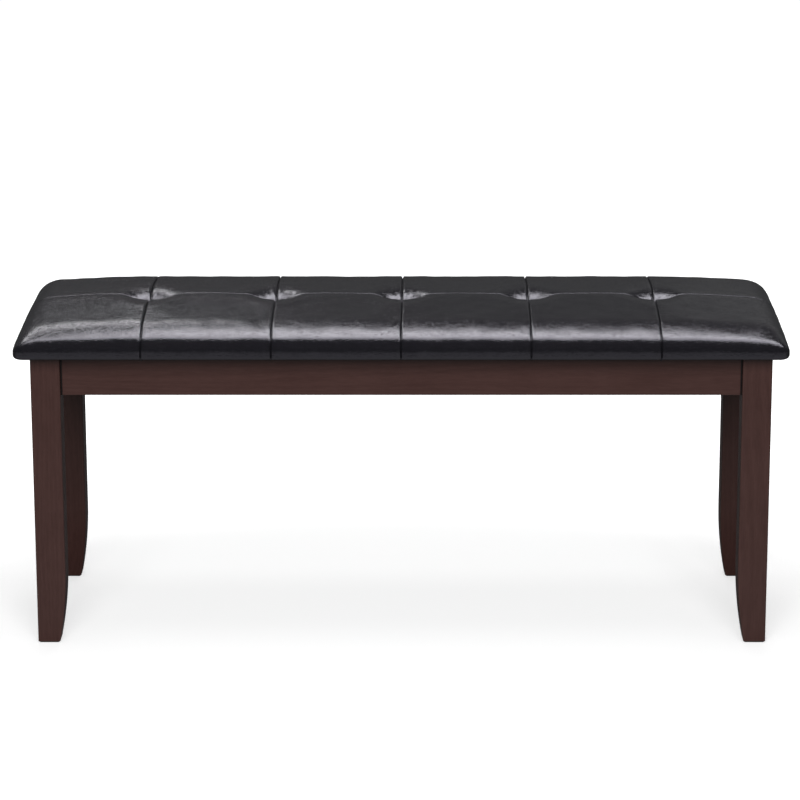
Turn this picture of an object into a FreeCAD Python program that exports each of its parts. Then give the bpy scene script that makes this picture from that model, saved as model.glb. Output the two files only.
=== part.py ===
import FreeCAD, Part
import math
import os

# An upholstered bench: a tufted leather seat pad screwed down on a wooden frame
# with four legs. Millimetres, +Z up, +X along the bench, the front faces -Y and
# the origin is on the floor under the middle of the seat.

# Overall sizes
SEAT_LENGTH = 1070.0
SEAT_DEPTH = 380.0
FRAME_LENGTH = 1026.0
FRAME_DEPTH = 331.0
FRAME_TOP = 416.5

# Legs
LEG_SIZE = 41.0
FOOT_SIZE = 31.0
TAPER_START = 105.0
LEG_EASE = 1.5
BOLT_FLAT = 6.0
FOOT_PAD_THICKNESS = 2.0
FOOT_PAD_MARGIN = 1.5
FOOT_PAD_CORNER = 2.0

# Aprons between the legs
APRON_HEIGHT = 57.5
APRON_THICKNESS = 20.0
APRON_RECESS = 10.0
APRON_EASE = 1.2

# Cross slats let into the long aprons
SLAT_WIDTH = 60.0
SLAT_THICKNESS = 18.0
SLAT_SPREAD = 180.0
SLAT_HOUSING = 10.0

# Corner blocks, measured from the inner corner where two aprons meet
BLOCK_NEAR = 26.0
BLOCK_FAR = 65.6
BLOCK_HEIGHT = 46.5

# Fasteners
DOWEL_DIAMETER = 8.0
DOWEL_LENGTH = 30.0
DOWEL_RISE = 16.5
BOLT_DIAMETER = 8.0
BOLT_LENGTH = 80.0
BOLT_TIP = 6.0
BOLT_IN_LEG = 30.0
BOLT_CLEARANCE = 0.5
WASHER_DIAMETER = 18.0
WASHER_THICKNESS = 1.6
SPRING_WASHER_DIAMETER = 14.8
SPRING_WASHER_THICKNESS = 2.0
SPRING_WASHER_SLIT = 1.2
NUT_ACROSS_FLATS = 13.0
NUT_THICKNESS = 6.5
BLOCK_SCREW_DIAMETER = 4.2
BLOCK_SCREW_LENGTH = 24.0
BLOCK_SCREW_SET = 46.0
BLOCK_SCREW_SEAT = 10.0
SEAT_SCREW_DIAMETER = 4.8
SEAT_SCREW_BITE = 9.0
SEAT_SCREW_OFFSET = 16.0
SLAT_SCREW_DIAMETER = 4.0
SLAT_SCREW_LENGTH = 40.0
SLAT_SCREW_SPREAD = 34.0
HEAD_DIAMETER = 8.4
HEAD_HEIGHT = 2.6
HEAD_ROOM = 1.2
SLAT_SEAT_SCREW_SPREAD = 150.0

# Seat pad: leather over foam on a plywood board
DUST_COVER_THICKNESS = 0.5
DUST_COVER_MARGIN = 12.0
LEATHER = 1.2
LEATHER_LIP = 50.0
FOAM_GAP = 0.3
BOARD_THICKNESS = 12.0
BOARD_MARGIN_X = 6.0
BOARD_MARGIN_Y = 7.5
BOARD_CORNER = 16.0
TIE_DIAMETER = 2.0
TIE_KNOT_DIAMETER = 7.0
TIE_KNOT_HEIGHT = 2.5
TIE_RECESS_DIAMETER = 9.0
TIE_RECESS_DEPTH = 3.0

# Outline of the seat pad
CROWN_HEIGHT = 468.0
SIDE_TOP = 428.0
SIDE_ROLL = 22.0
SHOULDER_SLOPE = 25.0
SHOULDER_RADIUS = 120.0
UNDER_ROLL = 5.0
END_ROLL = 33.0
END_FLAT = 0.4
PLAN_CORNER = 16.0
END_SLOPE = 7.0
END_SLOPE_REACH = 177.0

# Sewn panels, cross seams and tufts
CROSS_SEAMS = 5
SEAM_SPACING = 179.0
SEAM_DEPTH = 2.0
SEAM_REACH = 14.0
PANEL_PUFF = 1.0
LONG_SEAM_DEPTH = 1.2
LONG_SEAM_REACH = 16.0
TUFT_DEPTH = 15.0
TUFT_REACH_X = 60.0
TUFT_REACH_Y = 70.0
PANEL_STATIONS = 3
OUTER_END_STATIONS = 4
INNER_END_STATIONS = 2

# Heights and places worked out from the sizes above
FRAME_HALF_X = FRAME_LENGTH / 2
FRAME_HALF_Y = FRAME_DEPTH / 2
APRON_BOTTOM = FRAME_TOP - APRON_HEIGHT
APRON_MIDDLE = FRAME_TOP - APRON_HEIGHT / 2
LEG_INNER_X = FRAME_HALF_X - LEG_SIZE
LEG_INNER_Y = FRAME_HALF_Y - LEG_SIZE
APRON_INNER_X = FRAME_HALF_X - APRON_RECESS - APRON_THICKNESS
APRON_INNER_Y = FRAME_HALF_Y - APRON_RECESS - APRON_THICKNESS
APRON_CENTRE_X = APRON_INNER_X + APRON_THICKNESS / 2
APRON_CENTRE_Y = APRON_INNER_Y + APRON_THICKNESS / 2
LEG_OVERHANG = LEG_SIZE - APRON_RECESS - APRON_THICKNESS
SLAT_BOTTOM = FRAME_TOP - SLAT_THICKNESS
BLOCK_BOTTOM = FRAME_TOP - BLOCK_HEIGHT
SEAT_BOTTOM = FRAME_TOP + DUST_COVER_THICKNESS
BOARD_BOTTOM = SEAT_BOTTOM + LEATHER
BOARD_TOP = BOARD_BOTTOM + BOARD_THICKNESS
SEAT_HALF_X = SEAT_LENGTH / 2
SEAT_HALF_Y = SEAT_DEPTH / 2
LAST_SEAM = SEAM_SPACING * (CROSS_SEAMS - 1) / 2
CORNERS = {"front_left": (-1, -1), "front_right": (1, -1),
           "rear_left": (-1, 1), "rear_right": (1, 1)}

ORIGIN = FreeCAD.Vector(0, 0, 0)
UP = FreeCAD.Vector(0, 0, 1)
X_AXIS = FreeCAD.Vector(1, 0, 0)
Y_AXIS = FreeCAD.Vector(0, 1, 0)
DIAGONAL = FreeCAD.Vector(1, 1, 0).normalize()


def point(x, y, z):
    return FreeCAD.Vector(x, y, z)


def block(x_range, y_range, z_range):
    """A box between two corners."""
    size = [pair[1] - pair[0] for pair in (x_range, y_range, z_range)]
    return Part.makeBox(size[0], size[1], size[2], point(x_range[0], y_range[0], z_range[0]))


def rod(diameter, start, direction, length):
    return Part.makeCylinder(diameter / 2, length, start, direction)


def rounded_plate(half_x, half_y, corner, bottom, thickness):
    """A flat plate with rounded corners, centred on the origin."""
    plate = block((-half_x, half_x), (-half_y, half_y), (bottom, bottom + thickness))
    upright = [edge for edge in plate.Edges if abs(edge.tangentAt(edge.FirstParameter).z) > 0.9]
    return plate.makeFillet(corner, upright)


def to_corner(shape, side_x, side_y):
    """Mirror a shape made for the rear right corner to any of the four corners."""
    if side_x < 0:
        shape = shape.mirror(ORIGIN, X_AXIS)
    if side_y < 0:
        shape = shape.mirror(ORIGIN, Y_AXIS)
    return shape


def at_all_corners(shapes):
    return [to_corner(shape, side_x, side_y)
            for side_x, side_y in CORNERS.values() for shape in shapes]


def cut_all(shape, tools):
    for tool in tools:
        shape = shape.cut(tool)
    return shape


def corner_point(from_x, from_y, height):
    """A point measured inwards from the inner corner of the rear right aprons."""
    return point(APRON_INNER_X - from_x, APRON_INNER_Y - from_y, height)


def on_diagonal(distance, height):
    """A point on the line through the corner block and the leg, measured inwards."""
    return corner_point(distance * DIAGONAL.x, distance * DIAGONAL.y, height)


# Legs and feet

def leg_profile(inner, outer, across):
    """A face with the leg's side view: straight, then curved in towards the foot.

    across turns a distance from the middle of the bench and a height into a point.
    """
    taper = LEG_SIZE - FOOT_SIZE
    drop = TAPER_START - FOOT_PAD_THICKNESS
    radius = (drop ** 2 + taper ** 2) / (2 * taper)
    half_drop = drop / 2
    bend = radius - math.sqrt(radius ** 2 - half_drop ** 2)
    foot = across(inner + taper, FOOT_PAD_THICKNESS)
    knee = across(inner, TAPER_START)
    shin = across(inner + bend, TAPER_START - half_drop)
    top_in = across(inner, FRAME_TOP)
    top_out = across(outer, FRAME_TOP)
    heel = across(outer, FOOT_PAD_THICKNESS)
    edges = [Part.makeLine(heel, foot),
             Part.Arc(foot, shin, knee).toShape(),
             Part.makeLine(knee, top_in),
             Part.makeLine(top_in, top_out),
             Part.makeLine(top_out, heel)]
    return Part.Face(Part.Wire(edges))


def leg_blank():
    """The rear right leg before its holes: two side views crossed, with eased edges."""
    seen_from_front = leg_profile(LEG_INNER_X, FRAME_HALF_X, lambda d, z: point(d, LEG_INNER_Y, z))
    seen_from_side = leg_profile(LEG_INNER_Y, FRAME_HALF_Y, lambda d, z: point(LEG_INNER_X, d, z))
    blank = seen_from_front.extrude(Y_AXIS * LEG_SIZE).common(seen_from_side.extrude(X_AXIS * LEG_SIZE))
    upright = [edge for edge in blank.Edges if abs(edge.tangentAt(edge.FirstParameter).z) > 0.9]
    return blank.makeFillet(LEG_EASE, upright)


def bolt_flat():
    """The wedge planed off the inner corner of a leg, where the hanger bolt goes in."""
    beyond = LEG_OVERHANG + LEG_EASE
    short = LEG_OVERHANG - BOLT_FLAT - LEG_EASE
    corners = [corner_point(beyond, beyond, APRON_BOTTOM),
               corner_point(short, beyond, APRON_BOTTOM),
               corner_point(beyond, short, APRON_BOTTOM)]
    return Part.Face(Part.makePolygon(corners + corners[:1])).extrude(UP * APRON_HEIGHT)


def leg():
    tools = [bolt_flat(), rod(BOLT_DIAMETER, bolt_start(), -DIAGONAL, BOLT_LENGTH)]
    return cut_all(leg_blank(), tools + corner_dowels())


def foot_pad():
    half = FOOT_SIZE / 2 - FOOT_PAD_MARGIN
    pad = rounded_plate(half, half, FOOT_PAD_CORNER, 0, FOOT_PAD_THICKNESS)
    pad.translate(point(FRAME_HALF_X - FOOT_SIZE / 2, FRAME_HALF_Y - FOOT_SIZE / 2, 0))
    return pad


# Aprons, slats and corner blocks

def eased_bar(x_range, y_range):
    """An apron board with its two long lower edges eased."""
    bar = block(x_range, y_range, (APRON_BOTTOM, FRAME_TOP))
    longest = max(edge.Length for edge in bar.Edges)
    lower = [edge for edge in bar.Edges
             if edge.Length > longest - 1 and edge.CenterOfMass.z < APRON_MIDDLE]
    return bar.makeFillet(APRON_EASE, lower)


def rear_apron():
    bar = eased_bar((-LEG_INNER_X, LEG_INNER_X), (APRON_INNER_Y, APRON_INNER_Y + APRON_THICKNESS))
    tools = [slat_blank(side) for side in (-1, 1)]
    tools += [bore(*place) for place in slat_screw_places(1)]
    tools += at_all_corners(corner_dowels() + [bore(*block_screw_place(along_y=True))])
    return cut_all(bar, tools)


def right_apron():
    bar = eased_bar((APRON_INNER_X, APRON_INNER_X + APRON_THICKNESS), (-LEG_INNER_Y, LEG_INNER_Y))
    tools = at_all_corners(corner_dowels() + [bore(*block_screw_place(along_y=False))])
    return cut_all(bar, tools)


def slat_blank(side):
    centre = side * SLAT_SPREAD
    half_y = APRON_INNER_Y + SLAT_HOUSING
    return block((centre - SLAT_WIDTH / 2, centre + SLAT_WIDTH / 2), (-half_y, half_y),
                 (SLAT_BOTTOM, FRAME_TOP))


def slat(side):
    """A cross slat, bored for its own screws and for the two that hold the seat."""
    tools = [flat_screw(*place) for side_y in (-1, 1) for place in slat_screw_places(side_y)]
    tools += [bore(*place) for place in slat_seat_screw_places()]
    return cut_all(slat_blank(side), tools)


def corner_block():
    """A block across the corner of the frame, bored for its bolt and screws."""
    near, far = BLOCK_NEAR, BLOCK_FAR
    corners = [corner_point(near, 0, BLOCK_BOTTOM), corner_point(far, 0, BLOCK_BOTTOM),
               corner_point(0, far, BLOCK_BOTTOM), corner_point(0, near, BLOCK_BOTTOM)]
    body = Part.Face(Part.makePolygon(corners + corners[:1])).extrude(UP * BLOCK_HEIGHT)
    tools = [rod(BOLT_DIAMETER + BOLT_CLEARANCE, bolt_start(), -DIAGONAL, BOLT_LENGTH),
             bore(*block_seat_screw_place())]
    for along_y in (True, False):
        tools.append(bore(*block_screw_place(along_y)))
        tools.append(block_screw_recess(along_y))
    return cut_all(body, tools)


# Dowels, bolts and screws, each made for the rear right corner

def corner_dowels():
    """Two dowels from the leg into each of its aprons."""
    dowels = []
    for rise in (-DOWEL_RISE, DOWEL_RISE):
        height = APRON_MIDDLE + rise
        along_x = point(LEG_INNER_X - DOWEL_LENGTH / 2, APRON_CENTRE_Y, height)
        along_y = point(APRON_CENTRE_X, LEG_INNER_Y - DOWEL_LENGTH / 2, height)
        dowels.append(rod(DOWEL_DIAMETER, along_x, X_AXIS, DOWEL_LENGTH))
        dowels.append(rod(DOWEL_DIAMETER, along_y, Y_AXIS, DOWEL_LENGTH))
    return dowels


def leg_flat_distance():
    """Distance from the apron corner to the flat on the leg, along the diagonal."""
    return (2 * LEG_OVERHANG - BOLT_FLAT) / math.sqrt(2)


def bolt_start():
    """The end of the hanger bolt inside the leg; the bolt runs inwards from there."""
    return on_diagonal(leg_flat_distance() - BOLT_IN_LEG, APRON_MIDDLE)


def hanger_bolt():
    """A double-ended bolt: a pointed wood end in the leg, a machine end for the nut."""
    tip = Part.makeCone(BOLT_DIAMETER / 4, BOLT_DIAMETER / 2, BOLT_TIP, bolt_start(), -DIAGONAL)
    shank = rod(BOLT_DIAMETER, bolt_start() - DIAGONAL * BOLT_TIP, -DIAGONAL, BOLT_LENGTH - BOLT_TIP)
    return tip.fuse(shank).removeSplitter()


def stacked_on_block(stack):
    """The point on the bolt's axis that is stack above the inner face of the block."""
    return on_diagonal(BLOCK_FAR / math.sqrt(2) + stack, APRON_MIDDLE)


def ring(outer, inner, thickness, start):
    return rod(outer, start, -DIAGONAL, thickness).cut(rod(inner, start, -DIAGONAL, thickness))


def flat_washer():
    return ring(WASHER_DIAMETER, BOLT_DIAMETER + BOLT_CLEARANCE, WASHER_THICKNESS, stacked_on_block(0))


def spring_washer():
    """A ring with a slit through its top side."""
    start = stacked_on_block(WASHER_THICKNESS)
    body = ring(SPRING_WASHER_DIAMETER, BOLT_DIAMETER + BOLT_CLEARANCE, SPRING_WASHER_THICKNESS, start)
    slit = Part.makeBox(SPRING_WASHER_SLIT, 2 * SPRING_WASHER_DIAMETER, SPRING_WASHER_DIAMETER)
    slit.translate(point(-SPRING_WASHER_SLIT / 2, -SPRING_WASHER_DIAMETER, 0))
    slit.rotate(ORIGIN, UP, -45)
    slit.translate(start)
    return body.cut(slit)


def hex_nut():
    """A hexagonal nut with its outer corners turned down."""
    start = stacked_on_block(WASHER_THICKNESS + SPRING_WASHER_THICKNESS)
    across_corners = NUT_ACROSS_FLATS / math.cos(math.pi / 6)
    corners = [point(across_corners / 2 * math.cos(turn * math.pi / 3),
                     across_corners / 2 * math.sin(turn * math.pi / 3), 0) for turn in range(7)]
    body = Part.Face(Part.makePolygon(corners)).extrude(UP * NUT_THICKNESS)
    dome = Part.makeCone(across_corners / 2 + NUT_THICKNESS, NUT_ACROSS_FLATS / 2,
                         NUT_THICKNESS + (across_corners - NUT_ACROSS_FLATS) / 2,
                         point(0, 0, -(across_corners - NUT_ACROSS_FLATS) / 2))
    body = body.common(dome)
    body = body.cut(Part.makeCylinder(BOLT_DIAMETER / 2, NUT_THICKNESS))
    body.Placement = FreeCAD.Placement(start, FreeCAD.Rotation(UP, -DIAGONAL))
    return body


def bore(diameter, length, start, direction):
    """The hole that a screw of this size and place needs."""
    return rod(diameter, start, direction, length)


def pan_screw(diameter, length, start, direction):
    """A low-headed screw: start is under its head and direction is where it points."""
    head = rod(HEAD_DIAMETER, start, -direction, HEAD_HEIGHT)
    return head.fuse(bore(diameter, length, start, direction))


def flat_screw(diameter, length, start, direction):
    """A countersunk screw: start is the middle of its flush head."""
    sink = (HEAD_DIAMETER - diameter) / 2
    head = Part.makeCone(HEAD_DIAMETER / 2, diameter / 2, sink, start, direction)
    return head.fuse(bore(diameter, length, start, direction)).removeSplitter()


def block_screw_place(along_y):
    """The screw through one end of the corner block into a long or a short apron.

    Like the other places, it is a diameter, a length, a start and a direction.
    """
    height = BLOCK_BOTTOM + BLOCK_HEIGHT / 2
    if along_y:
        start, direction = corner_point(BLOCK_SCREW_SET, BLOCK_SCREW_SEAT, height), Y_AXIS
    else:
        start, direction = corner_point(BLOCK_SCREW_SEAT, BLOCK_SCREW_SET, height), X_AXIS
    return BLOCK_SCREW_DIAMETER, BLOCK_SCREW_LENGTH, start, direction


def block_screw_recess(along_y):
    """The bore that lets a screw's head down to a flat seat in the corner block."""
    start, direction = block_screw_place(along_y)[2:]
    return rod(HEAD_DIAMETER + HEAD_ROOM, start, -direction, BLOCK_FAR)


def block_seat_screw_place():
    """The long screw up through a corner block into the seat board."""
    middle = (BLOCK_NEAR + BLOCK_FAR) / 4
    shift = SEAT_SCREW_OFFSET / math.sqrt(2)
    length = BOARD_BOTTOM + SEAT_SCREW_BITE - BLOCK_BOTTOM
    start = corner_point(middle + shift, middle - shift, BLOCK_BOTTOM)
    return SEAT_SCREW_DIAMETER, length, start, UP


def slat_seat_screw_places():
    """The screws up through both slats into the seat board."""
    length = BOARD_BOTTOM + SEAT_SCREW_BITE - SLAT_BOTTOM
    half = SLAT_SEAT_SCREW_SPREAD / 2
    return [(SEAT_SCREW_DIAMETER, length, point(side * SLAT_SPREAD, y, SLAT_BOTTOM), UP)
            for side in (-1, 1) for y in (-half, half)]


def slat_screw_places(side_y):
    """The screws down through the slat ends into one long apron."""
    y = side_y * (APRON_INNER_Y + SLAT_HOUSING / 2)
    half = SLAT_SCREW_SPREAD / 2
    return [(SLAT_SCREW_DIAMETER, SLAT_SCREW_LENGTH, point(side * SLAT_SPREAD + x, y, FRAME_TOP), -UP)
            for side in (-1, 1) for x in (-half, half)]


def seat_screw_bores():
    bores = at_all_corners([bore(*block_seat_screw_place())])
    return bores + [bore(*place) for place in slat_seat_screw_places()]


# Outline of the seat pad

def fade(distance, reach):
    """1 at no distance, falling smoothly to 0 at reach."""
    share = min(abs(distance) / reach, 1.0)
    return (1 - share ** 2) ** 2


def quarter_round(distance, radius):
    """How far a rounded edge has drawn in, at a distance from the face it rounds."""
    if distance >= radius:
        return 0.0
    return radius - math.sqrt(radius ** 2 - (radius - distance) ** 2)


def seam_distance(x):
    """Distance along the bench to the nearest cross seam."""
    nearest = round(x / SEAM_SPACING) * SEAM_SPACING
    nearest = max(-LAST_SEAM, min(LAST_SEAM, nearest))
    return abs(x - nearest)


def crown_at(x):
    """Height of the seat's crown at a station, with its puffed panels and sewn seams."""
    off_seam = seam_distance(x)
    puff = PANEL_PUFF * fade(min(off_seam, SEAM_SPACING / 2) - SEAM_SPACING / 2, SEAM_SPACING / 2)
    to_end = SEAT_HALF_X - abs(x)
    slope = END_SLOPE * max(0.0, 1 - to_end / END_SLOPE_REACH) ** 2
    return CROWN_HEIGHT - PANEL_PUFF + puff - slope - SEAM_DEPTH * fade(off_seam, SEAM_REACH)


def half_section(x, side_y, inset):
    """Edges of one half of the seat's section, each as its start, middle and end.

    They run from the underside round the lower roll, up the side, over the roll and
    the shoulder to the crown, and down to the long seam. A line has no middle point.
    inset shrinks the section, for the inside of the leather and for the foam, where
    the lower roll is a plain bevel.
    """
    off_seam = seam_distance(x)
    from_end = SEAT_HALF_X + END_FLAT - inset - abs(x)
    under = UNDER_ROLL - inset
    bottom = SEAT_BOTTOM + inset + quarter_round(from_end, under)
    half = SEAT_HALF_Y - inset - SEAM_DEPTH * fade(off_seam, SEAM_REACH)
    half -= quarter_round(from_end, PLAN_CORNER - inset)

    end_roll = END_ROLL - inset
    rise = 1.0 - quarter_round(from_end, end_roll) / end_roll
    crown = SIDE_TOP + (crown_at(x) - inset - SIDE_TOP) * rise
    roll = (SIDE_ROLL - inset) * rise
    shoulder = (SHOULDER_RADIUS - inset) * rise

    tuft = fade(off_seam, TUFT_REACH_X)
    crest_in = half - LONG_SEAM_REACH - (TUFT_REACH_Y - LONG_SEAM_REACH) * tuft
    seam_drop = (LONG_SEAM_DEPTH + TUFT_DEPTH * tuft) * rise

    steep = math.radians(SHOULDER_SLOPE)
    shoulder_in = roll + (shoulder - roll) * math.sin(steep)
    shoulder_up = SIDE_TOP + (roll - shoulder) * math.cos(steep)
    gentle = 2 * math.atan2(crown - shoulder_up - shoulder, crest_in - shoulder_in)
    crown_radius = shoulder + (crest_in - shoulder_in) / math.sin(gentle)
    dip_reach = half - crest_in
    dip_radius = (dip_reach ** 2 + seam_drop ** 2) / (2 * seam_drop)

    def at(inwards, height):
        return point(x, side_y * (half - inwards), height)

    def on_arc(centre_in, centre_up, radius, slope):
        return at(centre_in - radius * math.sin(slope), centre_up + radius * math.cos(slope))

    def arc(centre_in, centre_up, radius, start, end):
        return [on_arc(centre_in, centre_up, radius, slope)
                for slope in (start, (start + end) / 2, end)]

    upright = math.pi / 2
    seam_slope = -math.asin(dip_reach / dip_radius)
    low_roll = arc(under, bottom + under, under, math.pi, upright)
    if inset > 0:
        low_roll[1] = None
    side = [at(0, bottom + under), None, at(0, SIDE_TOP)]
    return [low_roll, side,
            arc(roll, SIDE_TOP, roll, upright, steep),
            arc(shoulder_in, shoulder_up, shoulder, steep, gentle),
            arc(crest_in, crown - crown_radius, crown_radius, gentle, 0.0),
            arc(crest_in, crown - dip_radius, dip_radius, 0.0, seam_slope)]


def edge_of(start, middle, end):
    if middle is None:
        return Part.makeLine(start, end)
    return Part.Arc(start, middle, end).toShape()


def seat_section(x, inset):
    """The closed outline of the seat pad at one station along its length."""
    front = half_section(x, -1, inset)
    rear = [part[::-1] for part in reversed(half_section(x, 1, inset))]
    underside = [rear[-1][2], None, front[0][0]]
    return Part.Wire([edge_of(*part) for part in front + rear + [underside]])


def spread(start, end, steps):
    """Stations from start to end, closer together at start."""
    return [start + (end - start) * (1 - math.cos(step * math.pi / 2 / steps))
            for step in range(steps + 1)]


def tuft_places():
    return [-LAST_SEAM + seam * SEAM_SPACING for seam in range(CROSS_SEAMS)]


def seat_stations(inset, end_steps):
    """Stations along the seat, closest together at its seams and its rounded ends."""
    stations = []
    for seam in tuft_places():
        for side in (-1, 1):
            if abs(seam + side * SEAM_SPACING) <= LAST_SEAM:
                stations += spread(seam, seam + side * SEAM_SPACING / 2, PANEL_STATIONS)
    for side in (-1, 1):
        tip = side * (SEAT_HALF_X - inset)
        edge = tip - side * (UNDER_ROLL - inset)
        shoulder = tip - side * END_ROLL
        stations += spread(tip, edge, end_steps // 2)
        stations += spread(edge, shoulder, end_steps)
        stations += spread(side * LAST_SEAM, shoulder, PANEL_STATIONS + 1)
    return sorted({round(x, 3) for x in stations})


def seat_form(inset, end_steps):
    """The whole seat pad as one solid, lofted from end to end and drawn in by inset."""
    sections = [seat_section(x, inset) for x in seat_stations(inset, end_steps)]
    return Part.makeLoft(sections, True, True)


# Pieces of the seat

def seat_cover(outside, inside):
    """The sewn leather, open underneath where it is turned in over the board."""
    opening = block((-SEAT_HALF_X + LEATHER_LIP, SEAT_HALF_X - LEATHER_LIP),
                    (-SEAT_HALF_Y + LEATHER_LIP, SEAT_HALF_Y - LEATHER_LIP),
                    (SEAT_BOTTOM - 1, BOARD_BOTTOM + 1))
    return outside.cut(inside).cut(opening)


def board_blank():
    return rounded_plate(SEAT_HALF_X - BOARD_MARGIN_X, SEAT_HALF_Y - BOARD_MARGIN_Y,
                         BOARD_CORNER, BOARD_BOTTOM, BOARD_THICKNESS)


def tuft_tie(x):
    """The twine that pulls a tuft down, knotted under the board."""
    seam_height = CROWN_HEIGHT - PANEL_PUFF - SEAM_DEPTH - LONG_SEAM_DEPTH - TUFT_DEPTH
    knot_bottom = BOARD_BOTTOM + TIE_RECESS_DEPTH - TIE_KNOT_HEIGHT
    knot_top = BOARD_BOTTOM + TIE_RECESS_DEPTH
    knot = Part.makeCylinder(TIE_KNOT_DIAMETER / 2, TIE_KNOT_HEIGHT, point(x, 0, knot_bottom))
    twine = Part.makeCylinder(TIE_DIAMETER / 2, seam_height - LEATHER - knot_top,
                              point(x, 0, knot_top))
    return knot.fuse(twine)


def seat_board():
    """The plywood board, bored for the screws and for the tufts' twine."""
    tools = seat_screw_bores()
    for x in tuft_places():
        tools.append(rod(TIE_DIAMETER, point(x, 0, BOARD_BOTTOM), UP, BOARD_THICKNESS))
        tools.append(rod(TIE_RECESS_DIAMETER, point(x, 0, BOARD_BOTTOM), UP, TIE_RECESS_DEPTH))
    return cut_all(board_blank(), tools)


def seat_foam(form):
    """The foam over the board and round its edges, pierced at each tuft."""
    form = form.cut(board_blank())
    return cut_all(form, [tuft_tie(x) for x in tuft_places()])


def dust_cover():
    """The thin black cloth under the seat, pierced by the seat screws."""
    sheet = rounded_plate(SEAT_HALF_X - DUST_COVER_MARGIN, SEAT_HALF_Y - DUST_COVER_MARGIN,
                          BOARD_CORNER, FRAME_TOP, DUST_COVER_THICKNESS)
    return cut_all(sheet, seat_screw_bores())


def save(name, shape):
    """Write one piece, or a group of loose pieces, after checking that it is sound."""
    if isinstance(shape, list):
        shape = Part.makeCompound(shape)
    if not shape.isValid():
        print("NOT VALID:", name)
    shape.exportStep("parts/" + name + ".step")
    box = shape.BoundBox
    print("%-22s solids %2d  volume %9.0f  x %.1f..%.1f  y %.1f..%.1f  z %.1f..%.1f"
          % (name, len(shape.Solids), shape.Volume, box.XMin, box.XMax,
             box.YMin, box.YMax, box.ZMin, box.ZMax))


def main():
    os.makedirs("parts", exist_ok=True)

    for name, (side_x, side_y) in CORNERS.items():
        save("leg_" + name, to_corner(leg(), side_x, side_y))
        save("foot_pad_" + name, to_corner(foot_pad(), side_x, side_y))
        save("corner_block_" + name, to_corner(corner_block(), side_x, side_y))

    save("apron_rear", rear_apron())
    save("apron_front", rear_apron().mirror(ORIGIN, Y_AXIS))
    save("apron_right", right_apron())
    save("apron_left", right_apron().mirror(ORIGIN, X_AXIS))
    save("seat_slat_left", slat(-1))
    save("seat_slat_right", slat(1))

    save("frame_dowels", at_all_corners(corner_dowels()))
    save("hanger_bolts", at_all_corners([hanger_bolt()]))
    save("flat_washers", at_all_corners([flat_washer()]))
    save("spring_washers", at_all_corners([spring_washer()]))
    save("hex_nuts", at_all_corners([hex_nut()]))
    block_screws = [pan_screw(*block_screw_place(along_y)) for along_y in (True, False)]
    save("corner_block_screws", at_all_corners(block_screws))
    save("slat_screws", [flat_screw(*place) for side in (1, -1) for place in slat_screw_places(side)])
    save("seat_screws_long", at_all_corners([pan_screw(*block_seat_screw_place())]))
    save("seat_screws_short", [pan_screw(*place) for place in slat_seat_screw_places()])

    outside = seat_form(0.0, OUTER_END_STATIONS)
    inside = seat_form(LEATHER, INNER_END_STATIONS)
    padding = seat_form(LEATHER + FOAM_GAP, INNER_END_STATIONS)
    save("seat_cover", seat_cover(outside, inside))
    save("seat_foam", seat_foam(padding))
    save("seat_board", seat_board())
    save("dust_cover", dust_cover())
    save("tuft_ties", [tuft_tie(x) for x in tuft_places()])


if __name__ == "__main__":
    main()
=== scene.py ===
import math

import bpy
import numpy as np
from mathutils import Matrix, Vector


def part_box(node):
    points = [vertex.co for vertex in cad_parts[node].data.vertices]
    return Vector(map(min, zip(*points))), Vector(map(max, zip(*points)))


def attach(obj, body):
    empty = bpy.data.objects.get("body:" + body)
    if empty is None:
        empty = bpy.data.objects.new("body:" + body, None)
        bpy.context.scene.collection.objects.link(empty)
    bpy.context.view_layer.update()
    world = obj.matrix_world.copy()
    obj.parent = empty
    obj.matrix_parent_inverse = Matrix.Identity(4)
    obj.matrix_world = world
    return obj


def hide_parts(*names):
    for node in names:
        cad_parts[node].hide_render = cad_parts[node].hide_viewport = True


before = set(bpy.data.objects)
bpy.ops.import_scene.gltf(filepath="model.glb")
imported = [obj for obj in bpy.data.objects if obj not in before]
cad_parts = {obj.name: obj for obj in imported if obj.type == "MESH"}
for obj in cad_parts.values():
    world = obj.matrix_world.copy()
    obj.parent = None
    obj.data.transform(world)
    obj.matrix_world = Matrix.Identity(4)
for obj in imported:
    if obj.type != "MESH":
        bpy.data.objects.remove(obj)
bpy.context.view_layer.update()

# A tufted leather bench on a dark wooden frame. Sizes are in metres, +X along the
# bench, the front faces -Y and the origin is on the floor under the seat's middle.

MM = 0.001

# Seat pad, from the frame
SEAT_LOW, SEAT_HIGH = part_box("seat_cover")
SEAT_HALF_X = SEAT_HIGH.x
SEAT_HALF_Y = SEAT_HIGH.y
SEAT_BOTTOM = SEAT_LOW.z
CROWN_HEIGHT = SEAT_HIGH.z

# Outline of the seat pad
SIDE_TOP = 428 * MM
SIDE_ROLL = 22 * MM
SHOULDER_SLOPE = math.radians(25)
SHOULDER_RADIUS = 150 * MM
CREST_RADIUS = 140 * MM
UNDER_ROLL = 5 * MM
END_ROLL = 36 * MM
PLAN_CORNER = 16 * MM
END_SLOPE = 10 * MM
END_SLOPE_REACH = 177 * MM
END_SLOPE_POWER = 2
LEATHER = 1.2 * MM
LEATHER_LIP = 50 * MM

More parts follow.
